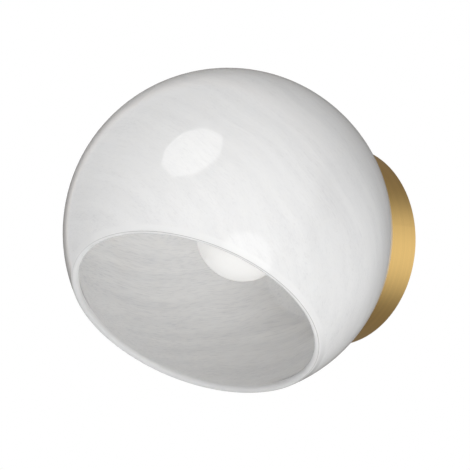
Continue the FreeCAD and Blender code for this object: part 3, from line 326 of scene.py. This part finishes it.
class Effect:
    """A shader node group with named inputs and outputs."""

    def __init__(self, name, inputs, outputs):
        self.group = bpy.data.node_groups.new(name, "ShaderNodeTree")
        face = self.group.interface
        face.new_socket(name="Place", in_out="INPUT", socket_type="NodeSocketVector")
        for label, value in inputs.items():
            kind = COLOUR if isinstance(value, tuple) else VALUE
            socket = face.new_socket(name=label, in_out="INPUT", socket_type=kind)
            socket.default_value = value
        for label, kind in outputs.items():
            face.new_socket(name=label, in_out="OUTPUT", socket_type=kind)
        self.inside = self.node("NodeGroupInput").outputs
        self.outside = self.node("NodeGroupOutput").inputs

    def node(self, kind, **settings):
        return add_node(self.group, kind, **settings)

    def feed(self, socket, value):
        """Links what another node puts out, or sets a plain value."""
        if isinstance(value, (int, float, tuple)):
            socket.default_value = value
        else:
            self.group.links.new(value, socket)

    def math(self, operation, first, second=None):
        made = self.node("ShaderNodeMath", operation=operation)
        self.feed(made.inputs[0], first)
        if second is not None:
            self.feed(made.inputs[1], second)
        return made.outputs[0]

    def add(self, first, second):
        return self.math("ADD", first, second)

    def take(self, first, second):
        return self.math("SUBTRACT", first, second)

    def times(self, first, second):
        return self.math("MULTIPLY", first, second)

    def part(self, mask, where, elsewhere):
        """One value where the mask is 1 and another where it is 0."""
        return self.add(self.times(mask, where), self.times(self.take(1.0, mask), elsewhere))

    def spread(self, value, low, high, to_low, to_high):
        """The value taken from one range to another and held there."""
        made = self.node("ShaderNodeMapRange")
        self.feed(made.inputs["Value"], value)
        for label, number in zip(("From Min", "From Max", "To Min", "To Max"), (low, high, to_low, to_high)):
            self.feed(made.inputs[label], number)
        return made.outputs["Result"]

    def rise(self, value, low, high):
        return self.spread(value, low, high, 0.0, 1.0)

    def fall(self, value, low, high):
        return self.spread(value, low, high, 1.0, 0.0)

    def blend(self, factor, first, second):
        """Two colours mixed by the factor."""
        made = self.node("ShaderNodeMix", data_type="RGBA")
        self.feed(made.inputs[0], factor)
        self.feed(made.inputs[6], first)
        self.feed(made.inputs[7], second)
        return made.outputs[2]

    def split(self, vector):
        made = self.node("ShaderNodeSeparateXYZ")
        self.feed(made.inputs[0], vector)
        return made.outputs

    def stretch(self, vector, shares):
        made = self.node("ShaderNodeVectorMath", operation="MULTIPLY")
        self.feed(made.inputs[0], vector)
        self.feed(made.inputs[1], shares)
        return made.outputs[0]

    def length(self, vector):
        made = self.node("ShaderNodeVectorMath", operation="LENGTH")
        self.feed(made.inputs[0], vector)
        return made.outputs["Value"]

    def noise(self, vector, scale, detail, roughness=0.5, fourth=None, curl=0.0):
        made = self.node("ShaderNodeTexNoise", noise_dimensions="3D" if fourth is None else "4D")
        self.feed(made.inputs["Vector"], vector)
        self.feed(made.inputs["Scale"], scale)
        self.feed(made.inputs["Detail"], detail)
        self.feed(made.inputs["Roughness"], roughness)
        self.feed(made.inputs["Distortion"], curl)
        if fourth is not None:
            self.feed(made.inputs["W"], fourth)
        return made.outputs["Fac"]

    def about_wall_axis(self):
        """How far a place lies across, along and above the wall axis, and its distance from it."""
        across, along, up = self.split(self.inside["Place"])
        square = self.add(self.times(across, across), self.times(up, up))
        return across, along, up, self.math("SQRT", square)

    def ring_noise(self, close, slow, detail, roughness):
        """Noise drawn out round the wall axis: close from line to line, slow along each."""
        across, along, up, radius = self.about_wall_axis()
        drawn = self.node("ShaderNodeCombineXYZ")
        for socket, value, scale in zip(drawn.inputs, (radius, along, across), (close, close, slow)):
            self.feed(socket, self.times(value, scale))
        return self.noise(drawn.outputs[0], 1.0, detail, roughness, self.times(up, slow))

    def vary_surface(self, mask, low, high):
        """Lets the tone and the roughness follow a mask, which is a half on average."""
        shade = self.node("ShaderNodeHueSaturation")
        darkest = self.take(1.0, self.inside["Tone"])
        lightest = self.add(1.0, self.inside["Tone"])
        self.feed(shade.inputs["Value"], self.spread(mask, low, high, darkest, lightest))
        self.feed(shade.inputs["Color"], self.inside["Colour"])
        self.feed(self.outside["Colour"], shade.outputs[0])
        change = self.times(self.take(mask, 0.5), self.inside["Unevenness"])
        self.feed(self.outside["Roughness"], self.add(self.inside["Roughness"], change))


# ---------------------------------------------------------------- shared effects

def make_grain():
    """Fine moulded or cast grain with slow cloudy variation of tone."""
    effect = Effect("fine_grain", {"Colour": (0.8, 0.8, 0.8, 1), "Tone": 0.04, "Grain Scale": 2500.0,
                                   "Roughness": 0.4, "Unevenness": 0.08},
                    {"Colour": COLOUR, "Roughness": VALUE, "Height": VALUE})
    cloud = effect.noise(effect.inside["Place"], 60, 3)
    grain = effect.noise(effect.inside["Place"], effect.inside["Grain Scale"], 2)
    effect.vary_surface(cloud, 0.35, 0.65)
    effect.feed(effect.outside["Height"], grain)
    return effect.group


def make_turned_lines():
    """Fine brush lines that run round the wall axis, as on spun and turned metal."""
    effect = Effect("turned_lines", {"Colour": (0.8, 0.6, 0.3, 1), "Tone": 0.1, "Line Scale": 1.0,
                                     "Roughness": 0.3, "Unevenness": 0.1},
                    {"Colour": COLOUR, "Roughness": VALUE, "Height": VALUE})
    brushed = effect.ring_noise(effect.times(effect.inside["Line Scale"], 2600.0), 14.0, 3, 0.6)
    bands = effect.ring_noise(300.0, 9.0, 2, 0.5)
    both = effect.add(effect.times(brushed, 0.6), effect.times(bands, 0.4))
    effect.vary_surface(both, 0.3, 0.7)
    effect.feed(effect.outside["Height"], both)
    return effect.group


def make_cut_thread():
    """Height of a cut thread about the wall axis, beyond a radius and in front of a shoulder."""
    effect = Effect("cut_thread", {"Pitch": 2.5 * MM, "Radius": 19.7 * MM, "Shoulder": -12 * MM},
                    {"Height": VALUE})
    across, along, up, radius = effect.about_wall_axis()
    beyond = effect.math("GREATER_THAN", radius, effect.inside["Radius"])
    ahead = effect.math("LESS_THAN", along, effect.inside["Shoulder"])
    turns = effect.math("DIVIDE", along, effect.inside["Pitch"])
    phase = effect.add(effect.times(turns, 2 * math.pi), effect.math("ARCTAN2", up, across))
    wave = effect.add(effect.times(effect.math("SINE", phase), 0.5), 0.5)
    effect.feed(effect.outside["Height"], effect.times(wave, effect.times(beyond, ahead)))
    return effect.group


def from_mouth(effect):
    """The place as the mouth has it: from the globe's centre, with the mouth's axis as Z."""
    mouth = effect.node("ShaderNodeMapping", vector_type="TEXTURE")
    mouth.inputs["Location"].default_value = GLOBE_CENTRE
    mouth.inputs["Rotation"].default_value = (math.radians(90) + MOUTH_TILT, 0, 0)
    effect.feed(mouth.inputs["Vector"], effect.inside["Place"])
    return mouth.outputs[0]


def unwind(effect, place, outward):
    """Turns the place back round the mouth's axis by the twist that the gather was given."""
    drift = effect.times(effect.noise(place, 14, 1), 0.4)
    made = effect.node("ShaderNodeVectorRotate", rotation_type="Z_AXIS")
    effect.feed(made.inputs["Vector"], place)
    effect.feed(made.inputs["Angle"], effect.add(effect.times(outward, effect.inside["Twist"]), drift))
    return made.outputs[0]


def lay_milk(effect, gather, wide, fine, inner):
    """Milk in the wall of the glass: straight streaks inside, curled fibres outside, broad patches."""
    streaks = effect.rise(fine, 0.34, 0.52)
    curls = effect.noise(effect.stretch(gather, (1, 1, 0.75)), effect.times(effect.inside["Scale"], 8.0),
                         4, 0.62, curl=1.6)
    fibres = effect.spread(curls, 0.33, 0.50, 0.1, 1.0)
    thin = effect.part(inner, streaks, fibres)
    soft = effect.rise(wide, 0.35, 0.65)
    milk = effect.add(effect.times(soft, 0.4), effect.times(thin, 0.6))
    patches = effect.spread(effect.noise(gather, 32, 2, 0.6), 0.35, 0.65, 0.0, 0.55)
    fewer_inside = effect.take(1.0, effect.times(inner, 0.35))
    filled = effect.times(patches, fewer_inside)
    return effect.add(milk, effect.times(filled, effect.take(1.0, milk)))


def draw_lip_painted_shade(effect, place, sideways, outward, lip):
    """Painted shade: a fine dark line round the front of the lip, stronger at the right."""
    from_axis = effect.length(effect.stretch(place, (1, 1, 0)))
    beyond = effect.take(from_axis, LIP_RADIUS)
    ahead = effect.take(outward, LIP_HEIGHT)
    angle = effect.math("ARCTAN2", ahead, beyond)
    line = effect.times(effect.rise(angle, *LINE_FADES_IN), effect.fall(angle, *LINE_FADES_OUT))
    strength = effect.spread(sideways, -30 * MM, 30 * MM, 0.25, 0.6)
    return effect.times(effect.times(line, lip), strength)


def make_swirl_with_painted_light():
    """Wispy streaks that wind round the mouth's axis, as the gather was turned on the pipe, and painted light
    and shade.
    """
    effect = Effect("glass_swirl_with_painted_light",
                    {"Clear": (0.84, 0.84, 0.845, 1), "Clear Inside": (0.78, 0.785, 0.80, 1),
                     "Inside Painted Shade": (0.64, 0.64, 0.635, 1), "Clear Lip": (0.78, 0.78, 0.78, 1),
                     "Lip Painted Shade": (0.42, 0.41, 0.40, 1), "Milk": (0.985, 0.985, 0.98, 1),
                     "Twist": 18.0, "Scale": 60.0},
                    {"Colour": COLOUR, "Height": VALUE})
    place = from_mouth(effect)
    sideways, upward, outward = effect.split(place)
    inner = effect.fall(effect.length(place), INNER_FACE, OUTER_FACE)
    lip = effect.rise(outward, WALL_ENDS, LIP_BEGINS)

    gather = unwind(effect, place, outward)
    drawn = effect.stretch(gather, (1, 1, 0.3))
    wide = effect.noise(drawn, effect.inside["Scale"], 2, 0.55)
    fine = effect.noise(drawn, effect.times(effect.inside["Scale"], 13.0), 3, 0.6)
    wall_milk = lay_milk(effect, gather, wide, fine, inner)
    # Painted light and shade: the lip is milky white at the top and right, and clear and darker at the bottom
    # and left.
    up_and_right = effect.add(upward, effect.times(sideways, 0.9))
    lip_painted_light = effect.rise(up_and_right, -30 * MM, 30 * MM)
    milk = effect.part(lip, lip_painted_light, wall_milk)

    # Painted shade: the clear glass of the inner wall is made darker towards the right.
    right_painted_shade = effect.rise(sideways, 15 * MM, 85 * MM)
    clear = effect.blend(right_painted_shade, effect.inside["Clear Inside"], effect.inside["Inside Painted Shade"])
    clear = effect.blend(lip, clear, effect.inside["Clear Lip"])
    clear = effect.blend(effect.math("MAXIMUM", inner, lip), effect.inside["Clear"], clear)
    colour = effect.blend(milk, clear, effect.inside["Milk"])
    # Painted shade: a dark line round the front of the lip.
    line = draw_lip_painted_shade(effect, place, sideways, outward, lip)
    effect.feed(effect.outside["Colour"], effect.blend(line, colour, effect.inside["Lip Painted Shade"]))
    effect.feed(effect.outside["Height"], effect.add(effect.times(wide, 0.7), effect.times(fine, 0.3)))
    return effect.group


fine_grain = make_grain()
turned_lines = make_turned_lines()


# ---------------------------------------------------------------- finishes

def opal_glass():
    """Fire-polished glass: smooth, with the swirl barely felt."""
    finish = Finish("opal_glass", (0.9, 0.9, 0.89), 0.0)
    swirl = finish.effect(make_swirl_with_painted_light())
    # The colour carries the swirl and the painted light and shade of the inner wall and the lip.
    finish.link(swirl["Colour"], "Base Color")
    finish.let_light_in(0.5, 5 * MM, (1.0, 0.98, 0.95))
    finish.bump(swirl["Height"], 0.02, 0.1 * MM)
    return finish.material


def turned_metal(name, colour, roughness, lines, tone=0.08, scale=1.0, direction=0.0):
    """Metal with lathe or brush lines, whose relief is the share that lines gives."""
    finish = Finish(name, colour, roughness, metallic=1.0)
    brushed = finish.effect(turned_lines, Colour=(*colour, 1), Tone=tone, Line_Scale=scale,
                            Roughness=roughness)
    finish.link(brushed["Colour"], "Base Color")
    finish.link(brushed["Roughness"], "Roughness")
    finish.put("Anisotropic", direction)
    finish.bump(brushed["Height"], lines, 0.04 * MM)
    return finish


def grained(name, colour, roughness, grain=0.1, tone=0.03, scale=2500.0, metallic=0.0, ior=1.5):
    """A moulded, cast or plated surface, whose relief is the share that grain gives."""
    finish = Finish(name, colour, roughness, metallic=metallic, ior=ior)
    surface = finish.effect(fine_grain, Colour=(*colour, 1), Tone=tone, Grain_Scale=scale,
                            Roughness=roughness)
    finish.link(surface["Colour"], "Base Color")
    finish.link(surface["Roughness"], "Roughness")
    finish.bump(surface["Height"], grain, 0.03 * MM)
    return finish


def satin_brass():
    """Brass brushed round the wall axis, so that its highlights spread across the lines."""
    finish = turned_metal("satin_brass", (0.82, 0.55, 0.20), 0.30, 0.2, direction=0.7)
    tangent = add_node(finish.tree, "ShaderNodeTangent", direction_type="RADIAL", axis="Y")
    finish.link(tangent.outputs[0], "Tangent")
    return finish.material


def bulb_opal():
    """The bulb's opal ball, with a faint painted glow that makes it brighter, as more light on it would."""
    finish = grained("bulb_opal", (0.96, 0.957, 0.95), 0.32, grain=0.04, tone=0.01)
    finish.let_light_in(0.5, 4 * MM, (1.0, 0.98, 0.95))
    # Painted light: a faint glow that brightens the ball.
    finish.put("Emission Color", (1.0, 0.99, 0.975, 1))
    finish.put("Emission Strength", LEVEL["bulb"])
    return finish.material


def glazed_porcelain():
    """Glaze over the lampholder's sleeve, with its cut thread under the grain."""
    finish = grained("porcelain", (0.90, 0.885, 0.845), 0.3, grain=0.12, tone=0.02, scale=700.0)
    thread = finish.effect(make_cut_thread())
    finish.bump(thread["Height"], 1.0, 0.6 * MM)
    finish.put("Coat Weight", 0.8)
    finish.put("Coat Roughness", 0.06)
    return finish.material


def clear_silicone():
    """The translucent gaskets before and behind the glass."""
    finish = grained("silicone", (0.80, 0.80, 0.78), 0.42, grain=0.08, tone=0.02, scale=900.0, ior=1.41)
    finish.let_light_in(0.7, 3 * MM, WHITE)
    return finish.material


def yellow_phosphor():
    """The bulb's diodes."""
    finish = grained("diode_yellow", (0.93, 0.76, 0.22), 0.35, grain=0.2, tone=0.05, scale=3500.0)
    finish.let_light_in(0.3, 0.6 * MM, (1.0, 0.2, 0.1))
    return finish.material


# ---------------------------------------------------------------- the bulb's rolled thread

def open_ring(shape, along):
    """The edges of the open end that lies in one plane across the wall axis."""
    return [edge for edge in shape.edges if edge.is_boundary
            and all(abs(corner.co.y - along) < 1e-6 for corner in edge.verts)]


def carry_on(shape, ring, stations):
    """Extrudes an open end through rings of given radius and place along the wall axis."""
    for radius, along in stations:
        made = bmesh.ops.extrude_edge_only(shape, edges=ring)["geom"]
        corners = [item for item in made if isinstance(item, bmesh.types.BMVert)]
        for corner in corners:
            share = radius / math.hypot(corner.co.x, corner.co.z)
            corner.co = (corner.co.x * share, along, corner.co.z * share)
        ring = open_ring(shape, along)
    return ring


def wind_thread(shape):
    """Winds one wave of the thread round the wall axis and trims it to its two ends."""
    steps, divisions, lead_in = 12, 48, 1.2
    wave = []
    for step in range(steps + 1):
        lift = 0.5 + 0.5 * math.cos(2 * math.pi * step / steps)
        along = THREAD_BACK + PITCH * (lead_in - step / steps)
        wave.append(shape.verts.new((ROOT + (CREST - ROOT) * lift, along, 0)))
    line = [shape.edges.new(pair) for pair in zip(wave, wave[1:])]
    turns = math.ceil((THREAD_BACK - THREAD_FRONT) / PITCH + lead_in)
    bmesh.ops.spin(shape, geom=wave + line, cent=(0, 0, 0), axis=(0, -1, 0), dvec=(0, -PITCH / divisions, 0),
                   angle=2 * math.pi * turns, steps=divisions * turns)
    bmesh.ops.remove_doubles(shape, verts=shape.verts, dist=2e-6)
    for place, side in ((THREAD_BACK, 1), (THREAD_FRONT, -1)):
        everything = shape.verts[:] + shape.edges[:] + shape.faces[:]
        bmesh.ops.bisect_plane(shape, geom=everything, plane_co=(0, place, 0), plane_no=(0, side, 0),
                               clear_outer=True)


def roll_cap(material):
    """The bulb's screw cap with its right-hand thread, which the CAD cap leaves plain."""
    shape = bmesh.new()
    wind_thread(shape)
    skirt = [(CREST, -41.1 * MM), (CREST, SKIRT_RIM), (SKIRT_INSIDE, SKIRT_RIM), (SKIRT_INSIDE, -24.2 * MM)]
    shoulder = [(CREST, -23.6 * MM), (9.3 * MM, CAP_BACK), (CAP_HOLE, CAP_BACK), (CAP_HOLE, -21.2 * MM)]
    inner_end = carry_on(shape, open_ring(shape, THREAD_FRONT), skirt)
    back_end = carry_on(shape, open_ring(shape, THREAD_BACK), shoulder)
    bmesh.ops.bridge_loops(shape, edges=inner_end + back_end)
    bmesh.ops.recalc_face_normals(shape, faces=shape.faces)
    for face in shape.faces:
        face.smooth = True
    cap = finished_object("rolled_cap", shape, material, sharp=math.radians(38))
    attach(cap, "bulb")
    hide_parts("bulb_cap")


# ---------------------------------------------------------------- putting it together

def dress(slot, material):
    """Gives every CAD piece of one slot its finish."""
    for part in frame["record"]["subparts"]:
        if part["material_slot"] != slot:
            continue
        mesh = nodes[part["node"]].data
        for index in range(len(mesh.materials)):
            mesh.materials[index] = material
        if not mesh.materials:
            mesh.materials.append(material)


stand_camera()
light_studio()
paint_room()
lay_floor()

nickel = turned_metal("nickel_cap", (0.76, 0.74, 0.70), 0.24, 0.10, tone=0.04).material
dress("opal_glass", opal_glass())
dress("satin_brass", satin_brass())
dress("plain_brass", turned_metal("plain_brass", (0.82, 0.62, 0.30), 0.26, 0.15).material)
dress("zinc_steel", turned_metal("zinc_steel", (0.66, 0.67, 0.69), 0.30, 0.12, tone=0.05, scale=0.5).material)
dress("nickel_cap", nickel)
dress("tinned_copper", grained("tinned_copper", (0.74, 0.73, 0.71), 0.28, metallic=1.0).material)
dress("porcelain", glazed_porcelain())
dress("silicone", clear_silicone())
dress("black_plastic", grained("black_plastic", (0.035, 0.035, 0.038), 0.38, grain=0.25).material)
dress("white_plastic", grained("white_plastic", (0.84, 0.83, 0.80), 0.45, grain=0.2).material)
for slot, colour in (("black_insulation", (0.03, 0.03, 0.03)), ("white_insulation", (0.82, 0.82, 0.79)),
                     ("green_insulation", (0.05, 0.33, 0.12))):
    dress(slot, grained(slot, colour, 0.42, scale=900).material)
dress("bulb_opal", bulb_opal())
dress("bulb_plastic", grained("bulb_plastic", (0.90, 0.895, 0.88), 0.36).material)
dress("board_white", grained("board_white", (0.88, 0.89, 0.87), 0.5, grain=0.15).material)
dress("diode_yellow", yellow_phosphor())
roll_cap(nickel)

scene = bpy.context.scene
scene.view_settings.view_transform = "Standard"
scene.cycles.diffuse_bounces = 8
